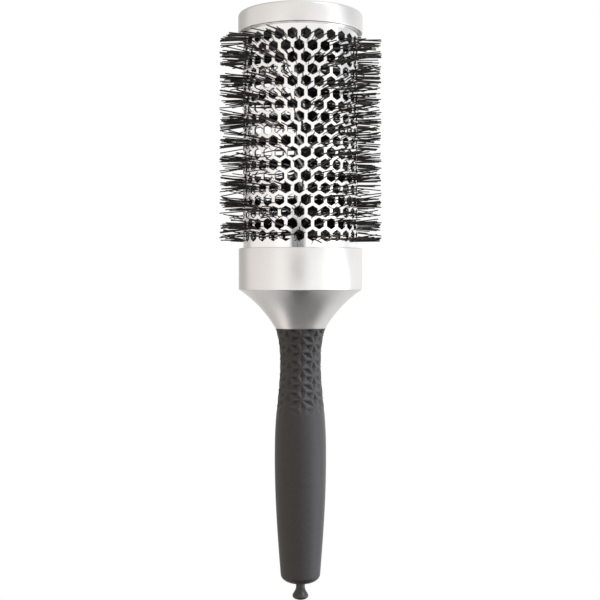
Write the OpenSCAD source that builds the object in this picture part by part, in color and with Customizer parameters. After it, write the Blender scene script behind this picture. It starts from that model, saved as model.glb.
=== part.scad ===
// Round barrel brush for blow-drying: nylon bristles caught in a twisted wire core stand out
// through the vents of an aluminium barrel, which a capped end and a flared collar close.
// The soft handle stores a sectioning pick that slides out of its end.
// Millimetres, +Z from the pick's knob to the end cap, origin in the middle of the knob's end.

/* [Barrel] */
// Outside diameter of the barrel
barrel_d = 55; // [48:1:65]
// Wall of the barrel tube
barrel_wall = 0.9; // [0.6:0.1:1.4]
// Depth that the barrel sits in the collar
barrel_seat = 12; // [8:0.5:15]

/* [Vents] */
// Vents around the barrel in one row
vents_per_row = 28; // [24:1:30]
// Rows of vents along the barrel
vent_rows = 18; // [10:1:22]
// Distance from one row of vents to the next
row_pitch = 5.4; // [5:0.1:6.5]
// Size of a vent across its flats
vent_flats = 4.6; // [3.4:0.1:4.8]
// Turn of the lowest row's first vent from the front, in degrees
vent_turn = -1.2; // [-6:0.1:6]
// Plain barrel from the collar to the middle of the lowest row
low_margin = 5.4; // [5:0.1:10]
// Plain barrel from the middle of the top row to the end cap
top_margin = 4.9; // [4.5:0.1:10]

/* [End cap and collar] */
// Step from the barrel out to the collar
rim_step = 2; // [1.6:0.1:3]
// Step from the barrel out to the end cap
cap_step = 2.25; // [1.6:0.05:3]
// Height of the end cap
cap_height = 9.7; // [8:0.1:14]
// Rounding of the end cap's top edge
cap_round = 1.6; // [0.6:0.1:1.9]
// Thickness of the end cap's top
cap_top = 2; // [1.2:0.1:3]
// Depth of the dish in the end cap's top
dish_depth = 1; // [0.4:0.1:1.6]
// Width of the rim around that dish
dish_rim = 4.5; // [3:0.1:8]
// Height of the collar's straight band
band_height = 19.5; // [18:0.5:26]
// Height of the flare below the band
flare_height = 18.6; // [14:0.2:24]
// Outside radius of the flare where it meets the handle
flare_r = 12; // [11.8:0.1:14]
// Radius of the hollow curve of the flare
flare_curve = 56; // [40:1:120]
// Wall of the flare
flare_wall = 2.4; // [1.6:0.1:3]
// Width of the seat that carries the barrel's end
seat_width = 4.4; // [3.6:0.1:6]
// Height of the neck that holds the handle's core
neck_height = 7.6; // [5:0.2:9]
// Rounding of the sharp outer edges
edge_round = 0.4; // [0.1:0.1:0.8]

/* [Bristle core] */
// Thickness of one bristle
bristle_d = 0.45; // [0.35:0.05:0.5]
// Reach of the bristles past the barrel
bristle_reach = 11.3; // [6:0.1:16]
// Length of one full turn of the twisted core
twist_pitch = 20; // [17:0.5:24]
// Half columns of vents from the front to the bristle row's low end
twist_start = 13; // [0:1:27]
// Most that a bristle may climb or fall to reach its vent
most_climb = 4; // [3:0.1:4.2]
// Half the width of the bristle row in the twist
row_half_width = 1.5; // [1.2:0.1:1.8]
// Radius at which the bristles fan out towards their vents
fan_r = 5; // [4.6:0.1:8]
// Diameter of each core wire
wire_d = 2.2; // [1.6:0.1:2.6]
// Depth that the wires reach down into the handle
wire_depth = 18; // [10:0.5:30]
// Depth that the wires reach up into the top plug
wire_tip = 4; // [2:0.2:4.4]

/* [Core plugs] */
// Thickness of the plugs' discs
plug_disc = 2.2; // [1.4:0.1:3]
// Wall of the plugs' skirts
plug_skirt = 1.8; // [1.2:0.1:2.4]
// Radius of the plugs' hubs
hub_r = 6; // [5:0.1:7]

/* [Handle] */
// Length of the grip
grip_length = 121.4; // [105:0.2:140]
// Radius of the grip's waist below the collar
waist_r = 9.8; // [9.3:0.1:11]
// Distance of the waist below the collar
waist_drop = 17; // [10:0.5:25]
// Radius of the grip's belly
belly_r = 12.3; // [11.4:0.1:14]
// Height of the belly above the grip's end
belly_height = 59.8; // [45:0.2:70]
// Radius of the grip's tail, just above its domed end
tail_r = 9.5; // [9.3:0.1:11]
// Height of the domed end
dome_height = 4; // [3:0.1:6]
// Radius of the flat in the middle of the domed end
dome_flat_r = 3.5; // [3.4:0.1:4.5]
// Thickness of the grip's end wall
end_wall = 3; // [2.4:0.1:4]
// Radius of the handle's hard core
core_r = 7.2; // [6.4:0.1:7.4]
// Radius of the core's flange
flange_r = 9.6; // [8.6:0.1:11]
// Thickness of the core's flange
flange_t = 2.4; // [1.6:0.1:3]

/* [Sectioning pick] */
// Length of the pick that stands out of the handle
pick_out = 8.45; // [7.5:0.05:14]
// Length of the pick inside the handle
pick_in = 60; // [40:1:75]
// Radius of the pick's shaft
pick_r = 2.15; // [1.7:0.05:2.2]
// Radius of the pick's knob
knob_r = 3.85; // [3:0.05:5]
// Height of the knob's domed end
knob_dome = 1.9; // [1.4:0.1:2.6]
// Height at which the knob has become the straight neck
knob_height = 6.7; // [6:0.1:7.4]
// Length of the tapered point
point_length = 14; // [8:0.5:20]
// Radius of the rounded tip
tip_r = 0.9; // [0.5:0.1:1.2]
// Outside radius of the bush that holds the pick
bush_r = 3; // [2.8:0.05:3.2]
// Length of the bush
bush_length = 12; // [8:0.5:18]
// How far the bush stands out of the grip's end
bush_proud = 0.35; // [0.1:0.05:0.8]
// Width and height of the bush's flange
bush_flange = 1.4; // [1:0.1:1.8]

/* [Clearances] */
// Gap at glued and pressed faces
fit_gap = 0.05; // [0.02:0.01:0.1]
// Gap around the wires in their sockets
socket_gap = 0.2; // [0.1:0.05:0.3]
// Gap between the wires and the bristle row
wire_gap = 0.2; // [0.15:0.01:0.3]
// Running gap around the pick in its bush
pick_gap = 0.08; // [0.03:0.01:0.1]
// Free room around and beyond the pick's shaft in the core
pick_room = 0.5; // [0.3:0.1:1]

/* [Hidden] */
$fn = 96;
// Overshoot of a cut past the face that it opens
over = 1;

// Radii
barrel_r = barrel_d / 2;
bore_r = barrel_r - barrel_wall;
rim_r = barrel_r + rim_step;
cap_r = barrel_r + cap_step;
plug_r = bore_r - fit_gap;
wire_r = wire_d / 2;
wire_offset = bristle_d / 2 + wire_gap + wire_r;
socket_r = wire_offset + wire_r + socket_gap;
tip_circle_r = barrel_r + bristle_reach;

// Heights, from the knob up
grip_end_z = pick_out;
core_end_z = grip_end_z + end_wall;
grip_top_z = grip_end_z + grip_length;
neck_top_z = grip_top_z + neck_height;
shoulder_z = grip_top_z + flare_height;
collar_top_z = shoulder_z + band_height;
seat_z = collar_top_z - barrel_seat;
low_row_z = collar_top_z + low_margin;
top_row_z = low_row_z + (vent_rows - 1) * row_pitch;
cap_low_z = top_row_z + top_margin;
cap_top_z = cap_low_z + cap_height;
dish_z = cap_top_z - dish_depth;
cap_under_z = dish_z - cap_top;
barrel_top_z = cap_under_z - fit_gap;
wire_low_z = grip_top_z - wire_depth;
wire_top_z = cap_low_z + wire_tip;
pick_top_z = grip_end_z + pick_in;
bush_top_z = grip_end_z + bush_length;
waist_height = grip_length - waist_drop;

// Middle of the circle that hollows the flare: it passes through the shoulder and the joint
flare_chord = [rim_r - flare_r, flare_height];
flare_half = norm(flare_chord) / 2;
flare_middle = [(rim_r + flare_r) / 2, (shoulder_z + grip_top_z) / 2];
flare_normal = [flare_chord[1], -flare_chord[0]] / norm(flare_chord);
flare_centre = flare_middle + flare_normal * sqrt(flare_curve ^ 2 - flare_half ^ 2);

// Vents stand on half columns: every second one in a row, the others in the next row
half_columns = 2 * vents_per_row;
half_column = 360 / half_columns;
front_turn = vent_turn - 90;

// The bristle row is a flat band, twisted to the left, with one ring for each half column
ring_step = twist_pitch / half_columns;
band_low_z = low_row_z - most_climb;
band_high_z = top_row_z + most_climb;
ring_count = floor((band_high_z - band_low_z) / ring_step);
band_turn = front_turn + (twist_start + 0.5) * half_column;
// Share of a ring step that a bristle fills where it fans out
fan_fill = 0.8;

// Wires: rings in one turn and sides of the round
wire_rings = 8;
wire_sides = 6;
wire_steps = ceil((wire_top_z - wire_low_z) / (twist_pitch / wire_rings));
// Lean of the wires off the axis, and how far a leaning end reaches past its middle
wire_lean = 2 * PI * wire_offset / twist_pitch;
wire_dip = wire_r * wire_lean / norm([wire_lean, 1]);

// Shape of the grip's outline between its stations
waist_fall = 1.3;
flare_rise = 2.5;
outline_steps = 14;
knob_swell = 1.4;

// Band of revolution with its two outer corners rounded
module rounded_band(inner_r, outer_r, low_z, high_z, low_round, high_round) {
    inside_r = inner_r - max(low_round, high_round);
    intersection() {
        square_at([inner_r, low_z], [outer_r, high_z]);
        union() {
            square_at([inside_r, low_z], [outer_r - low_round, high_z - high_round]);
            square_at([inside_r, low_z + low_round], [outer_r, high_z - high_round]);
            square_at([inside_r, low_z + low_round], [outer_r - high_round, high_z]);
            translate([outer_r - low_round, low_z + low_round])
                circle(low_round);
            translate([outer_r - high_round, high_z - high_round])
                circle(high_round);
        }
    }
}

// Rectangle from its low corner to its high corner, as [radius, height]
module square_at(low, high) {
    translate(low)
        square(high - low);
}

// Tube of revolution
module tube(outer_r, inner_r, low_z, high_z) {
    translate([0, 0, low_z])
        difference() {
            cylinder(r = outer_r, h = high_z - low_z);
            translate([0, 0, -over])
                cylinder(r = inner_r, h = high_z - low_z + 2 * over);
        }
}

// Satin cap over the barrel's end, with a shallow dish in its top
module end_cap() {
    color([0.74, 0.73, 0.72])
        rotate_extrude() {
            rounded_band(barrel_r + fit_gap, cap_r, cap_low_z, cap_top_z, edge_round, cap_round);
            square_at([0, cap_under_z], [cap_r - cap_step / 2, dish_z]);
            square_at([cap_r - dish_rim, dish_z], [cap_r - cap_round, cap_top_z]);
        }
}

// Plug in the barrel's top end, which holds the wires' upper ends
module top_core_plug() {
    color([0.5, 0.5, 0.5])
        rotate_extrude()
            difference() {
                union() {
                    square_at([0, cap_low_z], [plug_r, cap_low_z + plug_disc]);
                    square_at([plug_r - plug_skirt, cap_low_z], [plug_r, barrel_top_z]);
                    square_at([0, cap_low_z], [hub_r, barrel_top_z]);
                }
                square_at([-over, cap_low_z - over], [socket_r, wire_top_z + wire_dip + socket_gap]);
            }
}

// Aluminium tube with staggered rows of hexagonal vents, points up
module barrel() {
    color([0.88, 0.87, 0.86])
        difference() {
            tube(barrel_r, bore_r, seat_z, barrel_top_z);
            for (row = [0:vent_rows - 1], column = [0:vents_per_row - 1])
                rotate(front_turn + (2 * column + row % 2) * half_column)
                    translate([bore_r - over, 0, low_row_z + row * row_pitch])
                        rotate([0, 90, 0])
                            cylinder(r = vent_flats / sqrt(3), h = barrel_wall + 2 * over, $fn = 6);
        }
}

// Turn of the twisted core at a height, to the left as it climbs
function twist_at(z) = band_turn - 360 * (z - band_low_z) / twist_pitch;

// Corner of a ring of one wire: the ring's flats face the bristle row
function wire_point(side, step, corner) =
    let (
        z = wire_low_z + (wire_top_z - wire_low_z) * step / wire_steps,
        turn = twist_at(z) + 90 * side,
        out = [cos(turn), sin(turn), 0],
        along = [wire_lean * sin(turn), -wire_lean * cos(turn), 1] / norm([wire_lean, 1]),
        across = cross(along, out),
        angle = 360 * (corner + 0.5) / wire_sides
    )
    [0, 0, z] + wire_offset * out + wire_r * (cos(angle) * out + sin(angle) * across);

// One of the two wires: side is 1 or -1
module core_wire(side) {
    points = [
        for (step = [0:wire_steps], corner = [0:wire_sides - 1]) wire_point(side, step, corner)
    ];
    last = wire_steps * wire_sides;
    walls = [
        for (step = [0:wire_steps - 1], corner = [0:wire_sides - 1])
            let (
                a = step * wire_sides + corner,
                b = step * wire_sides + (corner + 1) % wire_sides
            )
            each [[a, a + wire_sides, b + wire_sides], [a, b + wire_sides, b]]
    ];
    low_end = [for (corner = [1:wire_sides - 2]) [0, corner, corner + 1]];
    high_end = [for (corner = [1:wire_sides - 2]) [last, last + corner + 1, last + corner]];
    polyhedron(points, concat(walls, low_end, high_end));
}

module core_wire_a() {
    color([0.6, 0.6, 0.62])
        core_wire(1);
}

module core_wire_b() {
    color([0.6, 0.6, 0.62])
        core_wire(-1);
}

// Height of a ring of the bristle band
function ring_z(ring) = band_low_z + ring * ring_step;

// Corner of that ring: 0 and 1 on one edge of the band, 2 and 3 on the other
function ring_point(ring, corner) =
    let (
        turn = twist_at(ring_z(ring)),
        out = corner < 2 ? row_half_width : -row_half_width,
        aside = (corner == 0 || corner == 3) ? bristle_d / 2 : -bristle_d / 2
    )
    [out * cos(turn) - aside * sin(turn), out * sin(turn) + aside * cos(turn), ring_z(ring)];

// Row of vents, counted with fractions, at the middle of a ring's step
function level_at(ring) = (ring_z(ring) + ring_step / 2 - low_row_z) / row_pitch;

// Nearest row with a vent on the half column that one edge of the band faces there
function nearest_row(ring, edge) =
    let (odd = abs(twist_start - ring + edge * vents_per_row) % 2)
    2 * round((level_at(ring) - odd) / 2) + odd;

// A bristle grows where that row exists and is near enough
function grows(ring, edge) =
    let (row = nearest_row(ring, edge))
    row >= 0 && row < vent_rows && abs(row - level_at(ring)) * row_pitch <= most_climb;

// Three corners of a bristle at a radius: left, right and top
function bristle_section(ring, edge, radius, z, height) =
    let (
        turn = band_turn - (ring + 0.5) * half_column + 180 * edge,
        out = [cos(turn), sin(turn), 0],
        aside = [-sin(turn), cos(turn), 0]
    )
    [
        for (corner = [[-0.5, -0.5], [0.5, -0.5], [0, 0.5]])
            out * radius + aside * bristle_d * corner[0] + [0, 0, z + height * corner[1]]
    ];

// A bristle runs level to where it fans out, then straight through the middle of its vent
function bristle_points(ring, edge) =
    let (
        start_z = ring_z(ring) + ring_step / 2,
        climb = (nearest_row(ring, edge) - level_at(ring)) * row_pitch,
        reach = (tip_circle_r - fan_r) / (barrel_r - fan_r)
    )
    concat(
        bristle_section(ring, edge, fan_r, start_z, fan_fill * ring_step),
        bristle_section(ring, edge, tip_circle_r, start_z + climb * reach, bristle_d)
    );

// Three walls between two sections
function section_walls(a, b) = [
    for (k = [0:2])
        let (next = (k + 1) % 3)
        each [[a[k], b[next], a[next]], [a[k], b[k], b[next]]]
];

// Nylon bristles: one row caught between the wires, each bristle through a vent of its own
module bristles() {
    sides = [for (ring = [0:ring_count - 1], edge = [0, 1]) [ring, edge]];
    grown = [for (side = sides) if (grows(side[0], side[1])) side];
    bare = [for (side = sides) if (!grows(side[0], side[1])) side];
    points = concat(
        [for (ring = [0:ring_count], corner = [0:3]) ring_point(ring, corner)],
        [for (side = grown) each bristle_points(side[0], side[1])]
    );
    first = 4 * (ring_count + 1);
    // Corners of the band's edge where a bristle roots: left, right and top, then the spare one
    function root(side) = [
        4 * side[0] + 1 + 2 * side[1], 4 * side[0] + 2 * side[1],
        4 * (side[0] + 1) + 2 * side[1], 4 * (side[0] + 1) + 1 + 2 * side[1]
    ];
    broad = [
        for (ring = [0:ring_count - 1], pair = [[0, 3], [2, 1]])
            let (a = 4 * ring + pair[0], b = 4 * ring + pair[1])
            each [[a, b + 4, b], [a, a + 4, b + 4]]
    ];
    spare = [for (side = sides) let (r = root(side)) [r[0], r[3], r[2]]];
    plain = [for (side = bare) let (r = root(side)) [r[0], r[2], r[1]]];
    strands = [
        for (k = [0:len(grown) - 1])
            let (
                knee = [for (c = [0:2]) first + 6 * k + c],
                tip = [for (c = [3:5]) first + 6 * k + c]
            )
            each concat(
                section_walls(root(grown[k]), knee),
                section_walls(knee, tip),
                [[tip[0], tip[2], tip[1]]]
            )
    ];
    last = 4 * ring_count;
    ends = [
        [0, 2, 1], [0, 3, 2],
        [last, last + 1, last + 2], [last, last + 2, last + 3]
    ];
    color([0.07, 0.07, 0.07])
        polyhedron(points, concat(broad, spare, plain, strands, ends));
}

// Plug in the barrel's low end, which guides the wires down to the handle
module base_core_plug() {
    color([0.5, 0.5, 0.5])
        rotate_extrude()
            difference() {
                union() {
                    square_at([0, collar_top_z - plug_disc], [plug_r, collar_top_z]);
                    square_at([plug_r - plug_skirt, seat_z], [plug_r, collar_top_z]);
                    square_at([0, seat_z], [hub_r, collar_top_z]);
                }
                square_at([-over, seat_z - over], [socket_r, collar_top_z + over]);
            }
}

// Satin collar: a band around the barrel's end that flares down to the handle
module collar() {
    color([0.74, 0.73, 0.72])
        rotate_extrude() {
            rounded_band(
                barrel_r + fit_gap, rim_r, seat_z - edge_round, collar_top_z, edge_round, edge_round
            );
            square_at([rim_r - seat_width, shoulder_z], [rim_r, seat_z]);
            intersection() {
                translate(flare_centre)
                    difference() {
                        circle(flare_curve + flare_wall);
                        circle(flare_curve);
                    }
                square_at([0, grip_top_z], [rim_r, shoulder_z]);
            }
            difference() {
                square_at([core_r + fit_gap, grip_top_z], [rim_r, neck_top_z]);
                translate(flare_centre)
                    circle(flare_curve);
            }
        }
}

// Hard core of the handle: holds the wires from above, the bush and the pick from below
module handle_core() {
    color([0.16, 0.16, 0.16])
        rotate_extrude()
            difference() {
                union() {
                    square_at([0, core_end_z], [core_r, seat_z]);
                    square_at([0, neck_top_z], [flange_r, neck_top_z + flange_t]);
                }
                square_at([-over, wire_low_z - wire_dip - socket_gap], [socket_r, seat_z + over]);
                translate([-over, core_end_z - over])
                    square([over + bush_r + bush_flange + fit_gap, over + bush_flange + fit_gap]);
                square_at([-over, core_end_z - over], [bush_r + fit_gap, bush_top_z + fit_gap]);
                square_at([-over, core_end_z - over], [pick_r + pick_room, pick_top_z + pick_room]);
            }
}

// How far a height has come from one station to the next
function share(h, low, high) = (h - low) / (high - low);

// Smooth step from 0 to 1, held back by a power
function ease(t, power) = (1 - cos(180 * t ^ power)) / 2;

// Radius of the grip at a height above its end: dome, belly, waist and top
function grip_radius(h) =
    h < dome_height ? dome_flat_r + (tail_r - dome_flat_r) * sqrt(1 - (1 - h / dome_height) ^ 2)
    : h < belly_height ? tail_r + (belly_r - tail_r) * sin(90 * share(h, dome_height, belly_height))
    : h < waist_height
        ? belly_r - (belly_r - waist_r) * ease(share(h, belly_height, waist_height), waist_fall)
    : waist_r + (flare_r - waist_r) * share(h, waist_height, grip_length) ^ flare_rise;

// Even steps up to a station, without the first
function steps(low, high) = [for (k = [1:outline_steps]) low + (high - low) * k / outline_steps];

// Soft sleeve over the core, with a belly, a waist and a domed end
module grip_sleeve() {
    dome = [for (k = [0:outline_steps]) dome_height * (1 - cos(90 * k / outline_steps))];
    heights = concat(
        dome, steps(dome_height, belly_height),
        steps(belly_height, waist_height), steps(waist_height, grip_length)
    );
    outline = [for (h = heights) [grip_radius(h), grip_end_z + h]];
    color([0.22, 0.21, 0.21])
        rotate_extrude()
            difference() {
                polygon(concat([[0, grip_end_z]], outline, [[0, grip_top_z]]));
                square_at([-over, core_end_z], [core_r + fit_gap, grip_top_z + over]);
                square_at([-over, grip_end_z - over], [bush_r + fit_gap, core_end_z + over]);
            }
}

// Bush that holds the pick by friction, trapped by its flange between the grip and the core
module pick_bush() {
    color([0.2, 0.2, 0.2])
        rotate_extrude()
            difference() {
                union() {
                    square_at([0, grip_end_z - bush_proud], [bush_r, bush_top_z]);
                    square_at([0, core_end_z], [bush_r + bush_flange, core_end_z + bush_flange]);
                }
                square_at([-over, 0], [pick_r + pick_gap, bush_top_z + over]);
            }
}

// Sectioning pick: a domed and flared knob, a straight shaft and a tapered point with a round tip
module pick() {
    dome = [for (k = [0:outline_steps]) let (a = 90 * k / outline_steps)
        [knob_r * sin(a), knob_dome * (1 - cos(a))]];
    flare = [for (k = [1:outline_steps]) let (t = k / outline_steps)
        [pick_r + (knob_r - pick_r) * ease(1 - t, knob_swell), knob_dome + (knob_height - knob_dome) * t]];
    tip = [for (k = [0:outline_steps]) let (a = 90 * k / outline_steps)
        [tip_r * cos(a), pick_top_z - tip_r + tip_r * sin(a)]];
    color([0.25, 0.24, 0.24])
        rotate_extrude()
            polygon(concat(dome, flare, [[pick_r, pick_top_z - point_length]], tip));
}

end_cap();
top_core_plug();
barrel();
core_wire_a();
core_wire_b();
bristles();
base_core_plug();
collar();
handle_core();
grip_sleeve();
pick_bush();
pick();
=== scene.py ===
"""Finishes a round barrel brush: a polished vented barrel full of nylon bristles, a satin cap
and collar, a soft knurled grip and a sectioning pick. Metres, +Z up, the brush's axis on Z."""

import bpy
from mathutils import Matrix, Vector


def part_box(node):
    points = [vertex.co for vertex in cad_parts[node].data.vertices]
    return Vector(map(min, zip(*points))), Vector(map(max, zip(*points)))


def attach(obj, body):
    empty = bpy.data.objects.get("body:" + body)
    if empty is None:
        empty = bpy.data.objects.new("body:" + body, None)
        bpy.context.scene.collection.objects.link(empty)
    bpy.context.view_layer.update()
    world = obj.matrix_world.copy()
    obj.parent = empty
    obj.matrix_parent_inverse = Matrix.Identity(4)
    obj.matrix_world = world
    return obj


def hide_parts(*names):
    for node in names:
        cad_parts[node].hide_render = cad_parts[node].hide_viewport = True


bl_info = {
    "name": "Round barrel brush",
    "version": (1, 0, 0),
    "blender": (4, 5, 0),
    "location": "View3D > Sidebar > Brush",
    "description": "Models and finishes the pieces of a round barrel brush around its solids",
    "category": "Object",
}

import math
import random
from collections import Counter

import bpy
from bpy.props import FloatProperty, FloatVectorProperty, IntProperty, PointerProperty
from mathutils import Vector

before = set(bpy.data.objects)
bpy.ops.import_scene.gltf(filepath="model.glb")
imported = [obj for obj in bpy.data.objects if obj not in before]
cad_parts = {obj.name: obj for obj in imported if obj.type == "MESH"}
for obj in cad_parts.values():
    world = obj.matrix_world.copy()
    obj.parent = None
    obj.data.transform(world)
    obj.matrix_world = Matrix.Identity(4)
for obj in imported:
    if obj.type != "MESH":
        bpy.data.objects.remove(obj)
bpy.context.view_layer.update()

FULL_TURN = 2 * math.pi
ROOT_3 = math.sqrt(3)
# Steps of a full turn: larger round pieces, the knurled grip, small pieces and a wire
ROUND_STEPS, GRIP_STEPS, SMALL_STEPS, WIRE_STEPS = 144, 240, 96, 28
# Steps of a rounded edge and of the collar's flare
ARC_STEPS, FLARE_STEPS = 8, 24
# Rings on the grip's dome, on its plain length and on one row of its knurl
DOME_RINGS, PLAIN_RINGS, KNURL_RINGS = 12, 36, 32
# Rings on the dome of the pick's knob and on its neck
KNOB_RINGS, NECK_RINGS = 16, 20
# Corners of a vent, of a wire's section and of the floor
VENT_CORNERS, WIRE_CORNERS, FLOOR_CORNERS = 6, 14, 96
# Distance under which two points are the same point, and under which the barrel's cells join
SAME = 1e-6
CELL_JOIN = SAME * 10
# Size of the plane that is merged into a turned outline's first point
SPECK = SAME * 100
# Distance of a bristle's root from the axis, and of its middle from the flat of its vent
ROOT_RADIUS = 0.0004
VENT_ROOM = 0.0004
# Values of a noise between which most of it lies
NOISE_LOW, NOISE_HIGH = 0.3, 0.7


def span(node):
    """Outer radius, low end and high end of a solid that stands around the Z axis."""
    low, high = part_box(node)
    return high.x, low.z, high.z


def length(name, description, default):
    """A size of a piece, in metres."""
    return FloatProperty(
        name=name, description=description, default=default, unit="LENGTH", precision=5,
    )


def angle(name, description, degrees):
    """An angle of a piece."""
    return FloatProperty(
        name=name, description=description, default=math.radians(degrees), subtype="ANGLE",
    )


def number(name, description, default):
    """A plain number, such as a share or a power."""
    return FloatProperty(name=name, description=description, default=default)


def count(name, description, default):
    """A number of like things."""
    return IntProperty(name=name, description=description, default=default)


def colour(name, description, default):
    """A colour of a finish, as linear light."""
    return FloatVectorProperty(
        name=name, description=description, default=default, subtype="COLOR",
    )


class BarrelSizes(bpy.types.PropertyGroup):
    """Sizes of the vented barrel"""

    wall: length("Wall", "Wall of the tube", 0.0009)
    vents_per_row: count("Vents per row", "Vents around the barrel in one row", 28)
    vent_rows: count("Rows", "Rows of vents along the barrel", 18)
    row_pitch: length("Row pitch", "Distance from one row of vents to the next", 0.0054)
    vent_flats: length("Vent size", "Size of a vent across its flats", 0.0046)
    vent_round: length("Vent corner", "Cut that rounds a vent's corner", 0.0002)
    vent_turn: angle("Vent turn", "Turn of the lowest row's first vent from the front", -1.2)
    low_margin: length("Low margin", "Plain barrel from the collar to the lowest row", 0.0054)
    edge: length("Edge", "Softening of the punched edges", 0.00008)


class BristleSizes(bpy.types.PropertyGroup):
    """Sizes of the twisted core and its bristles"""

    filaments: count("Filaments", "Filaments caught in the twist, each with two free ends", 720)
    thickness: length("Thickness", "Thickness of one bristle", 0.00055)
    twist_pitch: length("Twist pitch", "Length of one full turn of the core", 0.02)
    twist_turn: angle("Twist turn", "Turn of the bristle row from the front at its low end", 85.6)
    overrun: length("Overrun", "Length of the bristle row below the lowest vents", 0.004)
    top_overrun: length("Top overrun", "Length of the bristle row above the top vents", 0.0042)
    height_spread: length("Height spread", "Usual climb or fall from core to barrel", 0.0016)
    turn_spread: angle("Turn spread", "Usual sideways lean from core to barrel", 6.0)
    tip_spread: angle("Tip spread", "Usual lean of a tip outside its vent", 3.0)
    tip_cut: length("Tip cut", "Unevenness of the cut tips", 0.0004)
    wire_radius: length("Wire radius", "Radius of each core wire", 0.0011)
    wire_offset: length("Wire offset", "Distance of each wire's middle from the axis", 0.001525)
    seed: count("Seed", "Start of the random draws", 11)


class EndSizes(bpy.types.PropertyGroup):
    """Sizes of the end cap and the collar"""

    cap_edge: length("Cap edge", "Rounding of the cap's low edge", 0.0006)
    fine_edge: length("Fine edge", "Rounding of the collar's top and the cap's corners", 0.00025)
    crease: length("Crease", "Softening of the collar's shoulder", 0.0004)
    cap_round: length("Cap round", "Rounding of the cap's top edge", 0.0016)
    dish_depth: length("Dish depth", "Depth of the dish in the cap's top", 0.001)
    dish_rim: length("Dish rim", "Width of the rim around that dish", 0.0045)
    band_height: length("Band height", "Height of the collar's straight band", 0.0195)
    flare_radius: length("Flare radius", "Radius of the flare where it meets the grip", 0.012)
    flare_curve: length("Flare curve", "Radius of the hollow curve of the flare", 0.056)
    flare_wall: length("Flare wall", "Wall of the flare", 0.0024)
    seat_width: length("Seat width", "Width of the seat under the barrel's end", 0.0044)
    neck_height: length("Neck height", "Height of the neck around the handle's core", 0.0076)
    fit_gap: length("Fit gap", "Gap at pressed faces", 0.00005)


class GripSizes(bpy.types.PropertyGroup):
    """Sizes of the soft grip and its knurl"""

    waist_radius: length("Waist radius", "Radius of the waist below the collar", 0.0098)
    waist_drop: length("Waist drop", "Distance of the waist below the collar", 0.017)
    belly_radius: length("Belly radius", "Radius of the belly", 0.0123)
    belly_height: length("Belly height", "Height of the belly above the grip's end", 0.0598)
    tail_radius: length("Tail radius", "Radius just above the domed end", 0.0095)
    dome_height: length("Dome height", "Height of the domed end", 0.004)
    dome_flat: length("Dome flat", "Radius of the flat in the middle of the dome", 0.0035)
    waist_fall: number("Waist fall", "Power that holds back the fall to the waist", 1.3)
    flare_rise: number("Flare rise", "Power of the rise from the waist to the collar", 2.5)
    bore: length("Bore", "Radius of the bore for the hard core", 0.00725)
    end_wall: length("End wall", "Thickness of the grip's end", 0.003)
    bush_hole: length("Bush hole", "Radius of the hole for the pick's bush", 0.00305)
    knurl_columns: count("Knurl columns", "Columns of stars around the waist", 10)
    knurl_row: length("Knurl row", "Distance of two stars on one column", 0.00747)
    knurl_depth: length("Knurl depth", "Depth of the knurl's pits below its ridges", 0.001)
    knurl_land: number("Knurl land", "Share of a pit's half width that is level ridge", 0.16)
    knurl_turn: angle("Knurl turn", "Turn of the front column from the front", 3.0)
    knurl_drop: length("Knurl drop", "Distance of the front's first star below the collar", 0.0034)
    knurl_length: length("Knurl length", "Length from the collar to the knurl's end", 0.0423)
    knurl_fade: length("Knurl fade", "Height over which the knurl fades", 0.009)


class PickSizes(bpy.types.PropertyGroup):
    """Sizes of the sectioning pick and its bush"""

    shaft_radius: length("Shaft radius", "Radius of the pick's shaft", 0.00215)
    knob_dome: length("Knob dome", "Height of the knob's domed end", 0.0019)
    knob_height: length("Knob height", "Height at which the knob is a straight neck", 0.0067)
    knob_swell: number("Knob swell", "Power that shapes the knob's flare", 1.4)
    point_length: length("Point length", "Length of the tapered point", 0.014)
    tip_radius: length("Tip radius", "Radius of the rounded tip", 0.0009)
    bush_radius: length("Bush radius", "Outside radius of the bush", 0.003)
    bush_flange: length("Bush flange", "Width and height of the bush's flange", 0.0014)
    bush_gap: length("Bush gap", "Running gap around the pick", 0.00008)
    bush_edge: length("Bush edge", "Rounding of the bush's nose", 0.0003)


class FinishColours(bpy.types.PropertyGroup):
    """Colours of the finishes"""

    satin: colour("Satin silver", "Silver coat of the cap and the collar", (0.80, 0.79, 0.775))
    aluminium: colour("Aluminium", "Polished barrel", (0.91, 0.90, 0.89))
    nylon: colour("Nylon", "Bristles", (0.019, 0.016, 0.0135))
    steel: colour("Steel", "Core wires", (0.80, 0.80, 0.81))
    plug: colour("Plug plastic", "Plugs in the barrel's ends", (0.30, 0.30, 0.30))
    core: colour("Core plastic", "Hard core of the handle", (0.04, 0.04, 0.04))
    rubber: colour("Grip rubber", "Soft grip", (0.080, 0.074, 0.069))
    pick: colour("Pick plastic", "Pick and bush", (0.085, 0.078, 0.072))
    floor: colour("Floor", "Pale floor of the stage", (0.90, 0.87, 0.83))


class StageSettings(bpy.types.PropertyGroup):
    """Camera, floor and light"""

    eye_drop: length("Eye drop", "Distance of the camera's level below the collar's top", 0.0136)
    camera_distance: length("Camera distance", "Distance of the camera from the axis", 0.5195)
    camera_aside: length("Camera aside", "Distance of the camera right of the axis", -0.0002)
    lens: FloatProperty(
        name="Lens", description="Focal length in millimetres", default=65.1, unit="CAMERA",
    )
    shift: number("Frame shift", "Shift of the frame from eye level", -0.0383)
    floor_drop: length("Floor drop", "Depth of the floor below the stored pick", 0.068)
    floor_radius: length("Floor radius", "Radius of the pale floor", 0.24)
    ambient: number("Ambient", "Strength of the studio's soft light on matt surfaces", 0.55)


def deselect():
    """Leave nothing selected, so that an operator acts on new geometry alone."""
    bpy.ops.object.select_all(action="DESELECT")


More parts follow.
